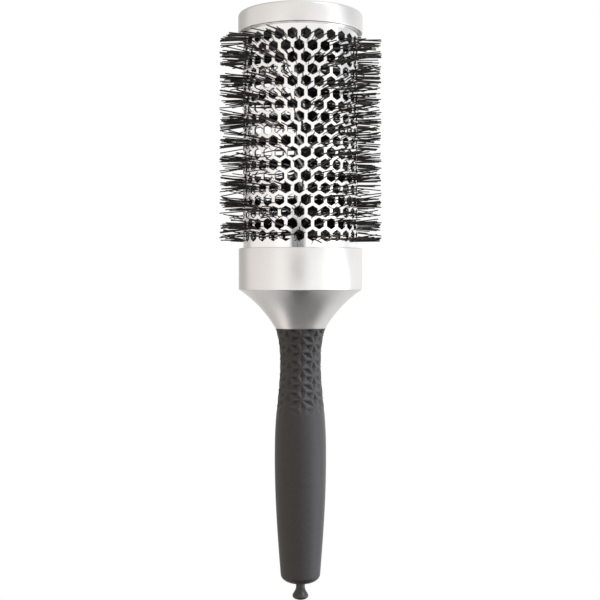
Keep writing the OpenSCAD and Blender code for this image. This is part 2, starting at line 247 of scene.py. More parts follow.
def added(operator, name, **settings):
    """Add an object by an operator, selected alone, and name it."""
    deselect()
    operator(**settings)
    bpy.context.object.name = name
    return bpy.context.object


def arc(centre, radius, start, end, steps=ARC_STEPS):
    """Points of an outline along an arc, between two angles in degrees."""
    turns = [math.radians(start + (end - start) * k / steps) for k in range(steps + 1)]
    return [(centre[0] + radius * math.cos(t), centre[1] + radius * math.sin(t)) for t in turns]


def steps_between(low, high, steps):
    """Even stations from one value up to another, without the first."""
    return [low + (high - low) * k / steps for k in range(1, steps + 1)]


def ease(t, power):
    """Smooth step from 0 to 1, held back by a power."""
    return (1 - math.cos(math.pi * t ** power)) / 2


def smooth_step(t):
    """Smooth rise from 0 at 0 to 1 at 1, held at both ends."""
    t = min(max(t, 0.0), 1.0)
    return t * t * (3 - 2 * t)


def close_up(fill=False):
    """Merge the active mesh's double points, fill its holes if asked, and face it outwards."""
    bpy.ops.object.mode_set(mode="EDIT")
    bpy.ops.mesh.select_all(action="SELECT")
    bpy.ops.mesh.remove_doubles(threshold=SAME)
    if fill:
        bpy.ops.mesh.fill_holes(sides=0)
        bpy.ops.mesh.select_all(action="SELECT")
    bpy.ops.mesh.normals_make_consistent(inside=False)
    bpy.ops.object.mode_set(mode="OBJECT")


def turned(name, outline, steps=ROUND_STEPS):
    """Model a round piece: a point is extruded along the outline, then spun around the Z axis.

    An outline that doesn't start on the axis is closed to a ring."""
    if outline[0][0] > 0:
        outline = outline + outline[:1]
    piece = added(bpy.ops.mesh.primitive_plane_add, name, size=SPECK)
    bpy.ops.object.mode_set(mode="EDIT")
    bpy.ops.mesh.merge(type="CENTER")
    bpy.ops.transform.translate(value=(outline[0][0], 0, outline[0][1]))
    for here, there in zip(outline, outline[1:]):
        move = (there[0] - here[0], 0, there[1] - here[1])
        bpy.ops.mesh.extrude_region_move(TRANSFORM_OT_translate={"value": move})
    bpy.ops.mesh.select_all(action="SELECT")
    bpy.ops.mesh.spin(steps=steps, angle=FULL_TURN, center=(0, 0, 0), axis=(0, 0, 1))
    close_up()
    return piece


def apply_modifier(piece, kind, **settings):
    """Add a modifier, set it and apply it."""
    bpy.context.view_layer.objects.active = piece
    modifier = piece.modifiers.new(kind.title(), kind)
    for name, value in settings.items():
        setattr(modifier, name, value)
    bpy.ops.object.modifier_apply(modifier=modifier.name)


def soften(piece, width, degrees=30, segments=2):
    """Bevel the corners of a piece that turn by more than an angle."""
    apply_modifier(
        piece, "BEVEL", width=width, segments=segments,
        limit_method="ANGLE", angle_limit=math.radians(degrees),
    )


def finish_piece(piece, material, slot, body, *nodes, smooth=30):
    """Give a piece its shading, finish, body and the solids that it stands for.

    Edges that turn by less than the angle, in degrees, are smooth."""
    deselect()
    piece.select_set(True)
    bpy.context.view_layer.objects.active = piece
    bpy.ops.object.shade_smooth_by_angle(angle=math.radians(smooth))
    piece.data.materials.clear()
    piece.data.materials.append(material)
    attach(piece, body)
    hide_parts(*nodes)


def add_node(tree, kind, inputs=None, **settings):
    """Add a shader node with its settings. An input takes a value or another node's output."""
    node = tree.nodes.new(kind)
    for name, value in settings.items():
        setattr(node, name, value)
    for name, value in (inputs or {}).items():
        if isinstance(value, bpy.types.NodeSocket):
            tree.links.new(value, node.inputs[name])
        else:
            node.inputs[name].default_value = value
    return node


def compute(tree, operation, first, second):
    """Result of a calculation with two values."""
    node = add_node(tree, "ShaderNodeMath", {0: first, 1: second}, operation=operation)
    return node.outputs["Value"]


def map_range(tree, value, low, high, to_low=0.0, to_high=1.0, smooth=False):
    """A value mapped from one range to another and held at its ends."""
    node = add_node(
        tree, "ShaderNodeMapRange",
        {"Value": value, "From Min": low, "From Max": high, "To Min": to_low, "To Max": to_high},
        interpolation_type="SMOOTHSTEP" if smooth else "LINEAR",
    )
    return node.outputs["Result"]


def mix_colours(tree, factor, first, second):
    """Mix of two colours."""
    inputs = {"Factor": factor, "A": first, "B": second}
    return add_node(tree, "ShaderNodeMix", inputs, data_type="RGBA").outputs["Result"]


def mix_shaders(tree, factor, first, second):
    """Mix of two shaders."""
    return add_node(tree, "ShaderNodeMixShader", {"Fac": factor, 1: first, 2: second}).outputs[0]


def rgba(light):
    """A colour with its alpha, from a grey or from red, green and blue."""
    return (*light, 1) if isinstance(light, tuple) else (light, light, light, 1)


def new_finish(name, **sockets):
    """A material whose plain sockets are set, with its shader."""
    material = bpy.data.materials.new(name)
    material.use_nodes = True
    shader = material.node_tree.nodes["Principled BSDF"]
    for socket, value in sockets.items():
        shader.inputs[socket.replace("_", " ")].default_value = value
    return material, shader


def grain(shader, size, stretch=(1, 1, 1), detail=2.0):
    """Noise with grains of a size in metres, stretched along the piece's own axes."""
    tree = shader.id_data
    place = add_node(tree, "ShaderNodeTexCoord").outputs["Object"]
    scale = [1 / size / s for s in stretch]
    spot = add_node(tree, "ShaderNodeMapping", {"Vector": place, "Scale": scale})
    noise = add_node(
        tree, "ShaderNodeTexNoise",
        {"Vector": spot.outputs["Vector"], "Scale": 1.0, "Detail": detail},
    )
    return noise.outputs["Fac"]


def tint(shader, noise, base, spread):
    """Let a noise vary the base colour a little, around its middle."""
    tree = shader.id_data
    ramp = add_node(tree, "ShaderNodeValToRGB", {"Fac": noise})
    low, high = ramp.color_ramp.elements
    low.position, high.position = NOISE_LOW, NOISE_HIGH
    low.color = [c * (1 - spread) for c in base] + [1]
    high.color = [c * (1 + spread) for c in base] + [1]
    tree.links.new(ramp.outputs["Color"], shader.inputs["Base Color"])


def vary_roughness(shader, noise, low, high):
    """Let a noise vary the roughness between two values."""
    tree = shader.id_data
    rough = map_range(tree, noise, NOISE_LOW, NOISE_HIGH, low, high)
    tree.links.new(rough, shader.inputs["Roughness"])


def raise_grain(shader, noise, height, strength):
    """Turn a noise into fine relief of a height in metres."""
    tree = shader.id_data
    inputs = {"Height": noise, "Strength": strength, "Distance": height}
    bump = add_node(tree, "ShaderNodeBump", inputs)
    tree.links.new(bump.outputs["Normal"], shader.inputs["Normal"])


def satin_silver(base):
    """Metallic silver coat with a fine sparkling grain."""
    material, shader = new_finish("satin_silver", Metallic=1.0)
    fleck = grain(shader, size=0.00022)
    tint(shader, fleck, base, spread=0.05)
    vary_roughness(shader, grain(shader, size=0.004), low=0.28, high=0.33)
    raise_grain(shader, fleck, height=0.00002, strength=0.25)
    return material


def polished_aluminium(base):
    """Bright drawn tube with faint lines along its length."""
    material, shader = new_finish("polished_aluminium", Metallic=1.0)
    lines = grain(shader, size=0.0003, stretch=(1, 1, 60))
    tint(shader, lines, base, spread=0.012)
    vary_roughness(shader, lines, low=0.07, high=0.10)
    return material


def black_nylon(base):
    """Smooth black filament."""
    material, shader = new_finish("black_nylon")
    tint(shader, grain(shader, size=0.002), base, spread=0.3)
    vary_roughness(shader, grain(shader, size=0.0008), low=0.3, high=0.5)
    return material


def drawn_steel(base):
    """Bright drawn wire."""
    material, shader = new_finish("drawn_steel", Metallic=1.0)
    marks = grain(shader, size=0.0004)
    tint(shader, marks, base, spread=0.1)
    vary_roughness(shader, marks, low=0.2, high=0.35)
    return material


def moulded_plastic(name, base, roughness):
    """Moulded plastic with a faint surface grain."""
    material, shader = new_finish(name)
    skin = grain(shader, size=0.0006)
    tint(shader, grain(shader, size=0.003), base, spread=0.06)
    vary_roughness(shader, skin, low=roughness - 0.05, high=roughness + 0.05)
    raise_grain(shader, skin, height=0.00002, strength=0.15)
    return material


def soft_rubber(base):
    """Soft-touch rubber: matt, finely grained, with a faint bloom at a flat angle."""
    material, shader = new_finish(
        "soft_rubber", Specular_IOR_Level=0.45, Sheen_Weight=0.05, Sheen_Roughness=0.5,
    )
    skin = grain(shader, size=0.00025)
    tint(shader, grain(shader, size=0.0016, detail=4.0), base, spread=0.07)
    vary_roughness(shader, skin, low=0.40, high=0.50)
    raise_grain(shader, skin, height=0.00003, strength=0.3)
    return material


class BRUSH_OT_end_cap(bpy.types.Operator):
    """Model the satin cap over the barrel's end"""

    bl_idname = "brush.end_cap"
    bl_label = "End cap"

    def execute(self, context):
        sizes = context.scene.brush_ends
        radius, low, high = span("end_cap")
        barrel_radius, _, barrel_top = span("barrel")
        inner = barrel_radius + sizes.fit_gap
        under = barrel_top + sizes.fit_gap
        dish = high - sizes.dish_depth
        edge, top = sizes.cap_edge, sizes.cap_round
        outline = [(0, under), (inner, under), (inner, low)]
        outline += arc((radius - edge, low + edge), edge, -90, 0)
        outline += arc((radius - top, high - top), top, 0, 90)
        outline += [
            (radius - sizes.dish_rim, high),
            (radius - sizes.dish_rim - sizes.dish_depth, dish),
            (0, dish),
        ]
        piece = turned("cap_satin", outline)
        soften(piece, sizes.fine_edge)
        material = satin_silver(context.scene.brush_colours.satin)
        finish_piece(piece, material, "satin_silver", "brush", "end_cap")
        return {"FINISHED"}


def vent_places(sizes):
    """Turn and height of each row's first vent, from the lowest row up."""
    low_row = span("collar")[2] + sizes.low_margin
    half_column = math.pi / sizes.vents_per_row
    return [
        (sizes.vent_turn + (row % 2) * half_column, low_row + row * sizes.row_pitch)
        for row in range(sizes.vent_rows)
    ]


def on_barrel(radius, turn, height):
    """Point at a turn from the front, to the right, and a height."""
    return Vector((radius * math.sin(turn), -radius * math.cos(turn), height))


class BRUSH_OT_barrel(bpy.types.Operator):
    """Model the aluminium barrel with its staggered hexagonal vents"""

    bl_idname = "brush.barrel"
    bl_label = "Barrel"

    def execute(self, context):
        sizes = context.scene.brush_barrel
        radius, low, high = span("barrel")
        rows = vent_places(sizes)
        column = FULL_TURN * radius / sizes.vents_per_row
        piece = self.flat_cell(sizes, column)
        self.repeat(piece, sizes.vents_per_row, (column, 0, 0))
        self.repeat(piece, sizes.vent_rows, (column / 2, sizes.row_pitch, 0))
        for point in piece.data.vertices:
            turn = sizes.vent_turn + point.co.x / radius
            point.co = on_barrel(radius, turn, rows[0][1] + point.co.y)
        bpy.ops.object.mode_set(mode="EDIT")
        bpy.ops.mesh.select_all(action="SELECT")
        bpy.ops.mesh.remove_doubles(threshold=CELL_JOIN)
        bpy.ops.object.mode_set(mode="OBJECT")
        self.extend(piece, rows[-1][1], high, 1)
        self.extend(piece, rows[0][1], low, -1)
        apply_modifier(piece, "SOLIDIFY", thickness=sizes.wall, offset=-1, use_even_offset=True)
        soften(piece, sizes.edge, degrees=50, segments=1)
        material = polished_aluminium(context.scene.brush_colours.aluminium)
        finish_piece(piece, material, "barrel_aluminium", "brush", "barrel", smooth=40)
        return {"FINISHED"}

    def flat_cell(self, sizes, column):
        """One vent in the middle of its own hexagon of wall, laid flat, points up."""
        piece = added(
            bpy.ops.mesh.primitive_circle_add, "barrel_polished",
            vertices=VENT_CORNERS, radius=sizes.vent_flats / ROOT_3,
        )
        bpy.ops.object.mode_set(mode="EDIT")
        bpy.ops.mesh.bevel(offset=sizes.vent_round, segments=2, affect="VERTICES")
        bpy.ops.mesh.select_all(action="DESELECT")
        bpy.ops.mesh.primitive_circle_add(vertices=VENT_CORNERS, radius=column / ROOT_3)
        stretch = sizes.row_pitch / (column * ROOT_3 / 2)
        bpy.ops.transform.resize(value=(1, stretch, 1), center_override=(0, 0, 0))
        bpy.ops.mesh.subdivide(number_cuts=2)
        bpy.ops.mesh.mark_seam(clear=False)
        bpy.ops.mesh.select_all(action="SELECT")
        bpy.ops.mesh.bridge_edge_loops()
        close_up()
        if piece.data.polygons[0].normal.z < 0:
            piece.data.flip_normals()
        return piece

    def repeat(self, piece, number, offset):
        """Repeat the flat pattern by a step."""
        apply_modifier(
            piece, "ARRAY", count=number, use_relative_offset=False,
            use_constant_offset=True, constant_offset_displace=offset,
        )

    def extend(self, piece, row, end, way):
        """Extrude the ragged edge past the last row to the barrel's straight end."""
        mesh = piece.data
        faces_at = Counter(key for face in mesh.polygons for key in face.edge_keys)
        for items in (mesh.vertices, mesh.edges, mesh.polygons):
            items.foreach_set("select", [False] * len(items))
        for edge in mesh.edges:
            ends = [mesh.vertices[v] for v in edge.vertices]
            middle = (ends[0].co.z + ends[1].co.z) / 2
            if faces_at[edge.key] == 1 and edge.use_seam and (middle - row) * way > 0:
                for item in (edge, *ends):
                    item.select = True
        bpy.context.view_layer.objects.active = piece
        bpy.ops.object.mode_set(mode="EDIT")
        bpy.context.tool_settings.mesh_select_mode = (False, True, False)
        bpy.ops.mesh.extrude_region_move()
        bpy.ops.transform.resize(value=(1, 1, 0), center_override=(0, 0, end))
        bpy.context.tool_settings.mesh_select_mode = (True, False, False)
        bpy.ops.object.mode_set(mode="OBJECT")


def twist_at(sizes, row_low, height):
    """Turn of the bristle row from the front at a height: to the left as it climbs."""
    return sizes.twist_turn - FULL_TURN * (height - row_low) / sizes.twist_pitch


class BRUSH_OT_core_wires(bpy.types.Operator):
    """Model the two wires of the twisted core"""

    bl_idname = "brush.core_wires"
    bl_label = "Core wires"

    def execute(self, context):
        sizes = context.scene.brush_bristles
        row_low = vent_places(context.scene.brush_barrel)[0][1] - sizes.overrun
        material = drawn_steel(context.scene.brush_colours.steel)
        for node, side in (("core_wire_a", 1), ("core_wire_b", -1)):
            piece = self.wire(sizes, node, side, row_low)
            finish_piece(piece, material, "core_steel", "brush", node)
        return {"FINISHED"}

    def wire(self, sizes, node, side, row_low):
        """A ring across the wire's run, wound up around the axis."""
        _, low, high = span(node)
        lean = math.atan(FULL_TURN * sizes.wire_offset / sizes.twist_pitch)
        dip = sizes.wire_radius * math.sin(lean)
        rise = high - low - 2 * dip
        turn = twist_at(sizes, row_low, low + dip) + side * math.pi / 2
        piece = added(
            bpy.ops.mesh.primitive_circle_add, node.replace("core_", "") + "_steel",
            vertices=WIRE_CORNERS, radius=sizes.wire_radius,
            location=on_barrel(sizes.wire_offset, turn, low + dip),
            rotation=(lean, 0, turn - math.pi / 2),
        )
        bpy.ops.object.transform_apply(location=True, rotation=True, scale=True)
        turns = rise / sizes.twist_pitch
        rounds = math.ceil(turns)
        apply_modifier(
            piece, "SCREW", axis="Z", angle=-FULL_TURN * turns / rounds,
            screw_offset=rise / rounds, iterations=rounds, steps=WIRE_STEPS,
            render_steps=WIRE_STEPS, use_merge_vertices=True, merge_threshold=SAME,
        )
        close_up(fill=True)
        return piece


class BRUSH_OT_bristles(bpy.types.Operator):
    """Grow the nylon bristles from the twisted core out through the vents"""

    bl_idname = "brush.bristles"
    bl_label = "Bristles"

    def execute(self, context):
        sizes = context.scene.brush_bristles
        barrel = context.scene.brush_barrel
        rows = vent_places(barrel)
        low = rows[0][1] - sizes.overrun
        high = rows[-1][1] + sizes.top_overrun
        draw = random.Random(sizes.seed)
        reach = span("barrel")[0], span("bristles")[0]
        paths = []
        for k in range(sizes.filaments):
            height = low + (high - low) * (k + 0.5) / sizes.filaments
            turn = twist_at(sizes, low, height)
            for side in (0, math.pi):
                paths.append(self.strand(sizes, barrel, rows, reach, turn + side, height, draw))
        piece = self.tubes(paths, sizes.thickness)
        material = black_nylon(context.scene.brush_colours.nylon)
        finish_piece(piece, material, "bristle_nylon", "brush", "bristles", smooth=50)
        return {"FINISHED"}

    def vent_at(self, barrel, rows, radius, turn, height):
        """The nearest place inside a vent to a place on the barrel."""
        column = FULL_TURN / barrel.vents_per_row
        vents = []
        for first, row_height in rows:
            middle = first + round((turn - first) / column) * column
            vents.append(((turn - middle) * radius, height - row_height, middle, row_height))
        aside, above, middle, row_height = min(vents, key=lambda vent: math.hypot(*vent[:2]))
        slant = ROOT_3 / 2
        reach = max(abs(aside), abs(aside / 2 + above * slant), abs(aside / 2 - above * slant))
        room = barrel.vent_flats / 2 - VENT_ROOM
        keep = min(1.0, room / max(reach, SAME))
        return middle + aside * keep / radius, row_height + above * keep

    def strand(self, sizes, barrel, rows, reach, turn, height, draw):
        """Points along one bristle: from the core, through a vent and out to its cut tip."""
        radius, tip_radius = reach
        aim_turn = turn + draw.gauss(0, sizes.turn_spread)
        aim_height = height + draw.gauss(0, sizes.height_spread)
        vent_turn, vent_height = self.vent_at(barrel, rows, radius, aim_turn, aim_height)
        start = on_barrel(ROOT_RADIUS, turn, height)
        vent = on_barrel(radius, vent_turn, vent_height)
        run = vent - start
        lean = draw.gauss(0, sizes.tip_spread)
        climb = draw.gauss(0, sizes.tip_spread)
        out = on_barrel(1, vent_turn + lean, 0)
        slope = run.z / radius + math.tan(climb)
        # The top row leans away from the cap
        if vent_height > rows[-1][1] - barrel.vent_flats / 2:
            slope = -abs(slope)
        free = tip_radius - radius - abs(draw.gauss(0, sizes.tip_cut))
        tip = vent + Vector((out.x, out.y, slope)) * free
        return [start, vent, tip]

    def tubes(self, paths, thickness):
        """Round strands along the paths, as one mesh."""
        deselect()
        curve = bpy.data.curves.new("bristles_nylon", "CURVE")
        curve.dimensions = "3D"
        curve.bevel_depth = thickness / 2
        curve.bevel_resolution = 1
        curve.use_fill_caps = True
        for path in paths:
            spline = curve.splines.new("POLY")
            spline.points.add(len(path) - 1)
            for point, place in zip(spline.points, path):
                point.co = (*place, 1)
        piece = bpy.data.objects.new("bristles_nylon", curve)
        bpy.context.scene.collection.objects.link(piece)
        piece.select_set(True)
        bpy.context.view_layer.objects.active = piece
        bpy.ops.object.convert(target="MESH")
        piece = bpy.context.object
        close_up()
        return piece


class BRUSH_OT_collar(bpy.types.Operator):
    """Model the satin collar that flares down to the grip"""

    bl_idname = "brush.collar"
    bl_label = "Collar"

    def execute(self, context):
        sizes = context.scene.brush_ends
        radius, low, high = span("collar")
        barrel_radius, seat, _ = span("barrel")
        inner = barrel_radius + sizes.fit_gap
        shoulder = high - sizes.band_height
        neck = low + sizes.neck_height
        edge = sizes.fine_edge
        centre = self.flare_centre(sizes, radius, low, shoulder)
        wall_curve = sizes.flare_curve + sizes.flare_wall
        bore = context.scene.brush_grip.bore
        outline = [(inner, high)]
        outline += arc((radius - edge, high - edge), edge, 90, 0)
        outline += self.flare(centre, sizes.flare_curve, shoulder, low)
        outline += [(bore, low), (bore, neck)]
        outline += self.flare(centre, wall_curve, neck, shoulder)
        seat_radius = radius - sizes.seat_width
        outline += [(seat_radius, shoulder), (seat_radius, seat), (inner, seat)]
        piece = turned("collar_satin", outline)
        soften(piece, sizes.crease)
        material = satin_silver(context.scene.brush_colours.satin)
        finish_piece(piece, material, "satin_silver", "brush", "collar")
        return {"FINISHED"}

    def flare_centre(self, sizes, radius, low, shoulder):
        """Middle of the circle that hollows the flare, outside and below it."""
        joint = Vector((sizes.flare_radius, low))
        chord = Vector((radius, shoulder)) - joint
        normal = Vector((chord.y, -chord.x)).normalized()
        away = math.sqrt(sizes.flare_curve ** 2 - (chord.length / 2) ** 2)
        return joint + chord / 2 + normal * away

    def flare(self, centre, curve, start, end):
        """Points of the hollow curve from one height to another."""
        angles = [180 - math.degrees(math.asin((z - centre.y) / curve)) for z in (start, end)]
        return arc(centre, curve, *angles, steps=FLARE_STEPS)


class BRUSH_OT_grip(bpy.types.Operator):
    """Model the soft grip with the diamond knurl on its waist"""

    bl_idname = "brush.grip"
    bl_label = "Grip"

    def execute(self, context):
        sizes = context.scene.brush_grip
        _, low, high = span("grip_sleeve")
        top_radius = context.scene.brush_ends.flare_radius
        heights = self.stations(sizes, low, high)
        outline = [(self.radius(sizes, z - low, high - low, top_radius), z) for z in heights]
        inside = [
            (sizes.bore, high), (sizes.bore, low + sizes.end_wall),
            (sizes.bush_hole, low + sizes.end_wall), (sizes.bush_hole, low),
        ]
        piece = turned("grip_soft", outline + inside, steps=GRIP_STEPS)
        for point in piece.data.vertices:
            plain = math.hypot(point.co.x, point.co.y)
            drop = high - point.co.z
            if plain > sizes.bore + sizes.knurl_depth and drop < sizes.knurl_length:
                turn = math.atan2(point.co.x, -point.co.y)
                pit = self.knurl(sizes, turn, drop)
                point.co.x *= 1 - pit / plain
                point.co.y *= 1 - pit / plain
        material = soft_rubber(context.scene.brush_colours.rubber)
        finish_piece(piece, material, "grip_rubber", "brush", "grip_sleeve")
        return {"FINISHED"}

    def stations(self, sizes, low, high):
        """Heights of the grip's rings: close together where the knurl is."""
        dome = [
            low + sizes.dome_height * (1 - math.cos(math.pi / 2 * k / DOME_RINGS))
            for k in range(DOME_RINGS + 1)
        ]
        fine = sizes.knurl_row / KNURL_RINGS
        star = high - sizes.knurl_drop
        start = star - fine * math.ceil((sizes.knurl_length - sizes.knurl_drop) / fine)
        plain = steps_between(dome[-1], start, PLAIN_RINGS)
        knurled = [start + fine * k for k in range(1, math.ceil((high - start) / fine))]
        return dome + plain + knurled + [high]

    def radius(self, sizes, h, total, top_radius):
        """Radius of the plain grip at a height above its end: dome, belly, waist and top."""
        waist = total - sizes.waist_drop
        flat, tail, belly = sizes.dome_flat, sizes.tail_radius, sizes.belly_radius
        if h < sizes.dome_height:
            rest = 1 - h / sizes.dome_height
            return flat + (tail - flat) * math.sqrt(1 - rest * rest)
        if h < sizes.belly_height:
            t = (h - sizes.dome_height) / (sizes.belly_height - sizes.dome_height)
            return tail + (belly - tail) * math.sin(math.pi / 2 * t)
        if h < waist:
            t = (h - sizes.belly_height) / (waist - sizes.belly_height)
            return belly - (belly - sizes.waist_radius) * ease(t, sizes.waist_fall)
        t = (h - waist) / sizes.waist_drop
        return sizes.waist_radius + (top_radius - sizes.waist_radius) * t ** sizes.flare_rise

    def knurl(self, sizes, turn, drop):
        """Depth of the knurl below the plain grip at a turn and a drop from the collar.

        Stars stand on columns, half a row higher on every second one, so they form triangles.
        Ridges join each star to the middles of the triangles around it, and the diamonds
        between the ridges sink to a point."""
        place = (turn - sizes.knurl_turn) / FULL_TURN * sizes.knurl_columns
        column = math.floor(place)
        across = place - column
        up = (sizes.knurl_drop - drop) / sizes.knurl_row - 0.5 * (column % 2)
        falling, rising = up - across / 2, up + across / 2
        a, b = falling - math.floor(falling), rising - math.floor(rising)
        if math.floor(falling) == math.floor(rising):
            corners = sorted((across, a, 1 - b))
        else:
            corners = sorted((1 - across, 1 - a, b))
        from_ridge = 2 * (corners[1] - corners[0])
        sunk = max(0.0, from_ridge - sizes.knurl_land) / (1 - sizes.knurl_land)
        fade = smooth_step((sizes.knurl_length - drop) / sizes.knurl_fade)
        return fade * sunk * sizes.knurl_depth


class BRUSH_OT_pick_bush(bpy.types.Operator):
    """Model the bush that holds the pick in the grip's end"""

    bl_idname = "brush.pick_bush"
    bl_label = "Pick bush"

    def execute(self, context):
        sizes = context.scene.brush_pick
        _, low, high = span("pick_bush")
        seat = span("grip_sleeve")[1] + context.scene.brush_grip.end_wall
        bore = sizes.shaft_radius + sizes.bush_gap
        flange = sizes.bush_radius + sizes.bush_flange
        wall, top = sizes.bush_radius, seat + sizes.bush_flange
        outline = [
            (bore, low), (wall, low), (wall, seat), (flange, seat),
            (flange, top), (wall, top), (wall, high), (bore, high),
        ]
        piece = turned("bush_plastic", outline, steps=SMALL_STEPS)
        soften(piece, sizes.bush_edge)
        base = context.scene.brush_colours.pick
        material = moulded_plastic("bush_plastic", base, roughness=0.42)
        finish_piece(piece, material, "core_plastic", "brush", "pick_bush")
        return {"FINISHED"}


class BRUSH_OT_pick(bpy.types.Operator):
    """Model the sectioning pick with its flared knob"""

    bl_idname = "brush.pick"
    bl_label = "Pick"

    def execute(self, context):
        sizes = context.scene.brush_pick
        knob, low, high = span("pick")
        rim = sizes.knob_dome
        shaft = sizes.shaft_radius
        outline = [(0, low)]
        for a in steps_between(0, math.pi / 2, KNOB_RINGS):
            outline.append((knob * math.sin(a), low + rim * (1 - math.cos(a))))
        for t in steps_between(0, 1, NECK_RINGS):
            reach = shaft + (knob - shaft) * ease(1 - t, sizes.knob_swell)
            outline.append((reach, low + rim + (sizes.knob_height - rim) * t))
        outline.append((shaft, high - sizes.point_length))
        outline += arc((0, high - sizes.tip_radius), sizes.tip_radius, 0, 90)
        piece = turned("pick_plastic", outline, steps=SMALL_STEPS)
        base = context.scene.brush_colours.pick
        material = moulded_plastic("pick_plastic", base, roughness=0.24)
        finish_piece(piece, material, "pick_plastic", "pick", "pick", smooth=50)
        return {"FINISHED"}


class BRUSH_OT_inner_parts(bpy.types.Operator):
    """Finish the plugs and the hard core, whose solids show as they are"""

    bl_idname = "brush.inner_parts"
    bl_label = "Inner parts"

    def execute(self, context):
        colours = context.scene.brush_colours
        plug = moulded_plastic("plug_plastic", colours.plug, roughness=0.5)
        core = moulded_plastic("core_plastic", colours.core, roughness=0.5)
        for node, material in (
            ("top_core_plug", plug), ("base_core_plug", plug), ("handle_core", core),
        ):
            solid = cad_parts[node]
            solid.data.materials.clear()
            solid.data.materials.append(material)
        return {"FINISHED"}


# Light of the studio's walls, as a grey or a colour, by turn from the front in degrees:
# under the brush, on the table, around it in front, and above
BEHIND = 180
STUDIO_BELOW = {
    BEHIND: 0.66, -100: (0.62, 0.61, 0.60), -55: 0.21, -30: 0.19, 40: 0.19, 65: 0.32, 100: 0.48,
}
STUDIO_TABLE = {
    BEHIND: (0.82, 0.82, 0.80), -166: (0.80, 0.79, 0.77), -150: (0.58, 0.57, 0.55),
    -124: (0.58, 0.57, 0.55), -110: (0.86, 0.82, 0.79), -40: (1.12, 1.09, 1.06),
    46: 1.2, 92: 1.0, 110: (0.80, 0.80, 0.78),
}
STUDIO_FRONT = {
    BEHIND: 0.95, -166: (0.85, 0.84, 0.83), -150: (0.56, 0.54, 0.52), -124: (0.54, 0.52, 0.50),
    -110: (0.91, 0.87, 0.84), -56: (1.01, 0.97, 0.94), -40: (1.20, 1.17, 1.14),
    -23: (1.14, 1.12, 1.10), -15: 0.55, 4: 0.55, 13: (1.16, 1.15, 1.14), 30: 1.20, 46: 1.24,
    56: 1.4, 76: 1.4, 92: (1.12, 1.12, 1.13), 104: (0.98, 0.98, 1.0), 122: (1.1, 1.1, 1.11),
}
# The same ring with a darker camera in front, and without it
CAMERA_DARK = {-15: 0.10, 4: 0.10}
STUDIO_CAMERA = {**STUDIO_FRONT, **CAMERA_DARK}
STUDIO_LEVEL = {turn: light for turn, light in STUDIO_FRONT.items() if turn not in CAMERA_DARK}
STUDIO_UPPER = {
    BEHIND: 1.0, -166: (0.72, 0.71, 0.70), -150: (0.56, 0.54, 0.52), -124: (0.56, 0.54, 0.52),
    -110: (0.86, 0.82, 0.79), -56: (0.93, 0.90, 0.87), -40: (1.0, 0.97, 0.94),
    8: (0.99, 0.97, 0.95), 44: 0.96, 54: 1.04, 61: 1.36, 73: 1.36, 83: (0.92, 0.92, 0.95),
    98: (0.76, 0.76, 0.79), 112: (0.76, 0.76, 0.78), 130: 0.92,
}
# Rings of light one above the other: height of a direction where each begins and is full
STUDIO_RINGS = (
    (-0.88, -0.58, STUDIO_TABLE),
    (-0.28, -0.18, STUDIO_FRONT),
    (0.019, 0.025, STUDIO_CAMERA),
    (0.036, 0.07, STUDIO_LEVEL),
    (0.10, 0.20, STUDIO_UPPER),
)
# Patches of other light: turn, rise, radius inside the edge and outside it, and colour
STUDIO_PATCHES = (
    (62, -83, 18, 38, 0.21),
    (-98, -52, 6, 16, (1.06, 0.96, 0.92)),
    (67, -8, 8, 16, 2.6),
    (88, -15, 5, 11, (3.6, 3.7, 4.0)),
    (56, 42, 9, 17, (3.4, 3.4, 3.6)),
)
# Light on matt surfaces: part of a direction, upwards or to the back, where it is least and
# where it is full, and the least; then its tones on the left and on the right
SOFT_HEIGHT = (-0.6, 0.5, 0.06)
SOFT_FRONT = (-1.0, 0.2, 0.5)
SOFT_LEFT = (1.0, 0.88, 0.80)
SOFT_RIGHT = (0.94, 0.97, 1.0)
# Name, turn from the front, height, distance, size, power and colour of each soft box
SOFT_BOXES = (
    ("key_right", 82, 0.80, 0.72, (0.42, 0.6), 14.0, (0.70, 0.78, 1.0)),
)
# Shares of the floor's radius between which it fades
FLOOR_FADE = (0.35, 0.98)
# Width of the camera's sensor in millimetres
SENSOR_WIDTH = 36


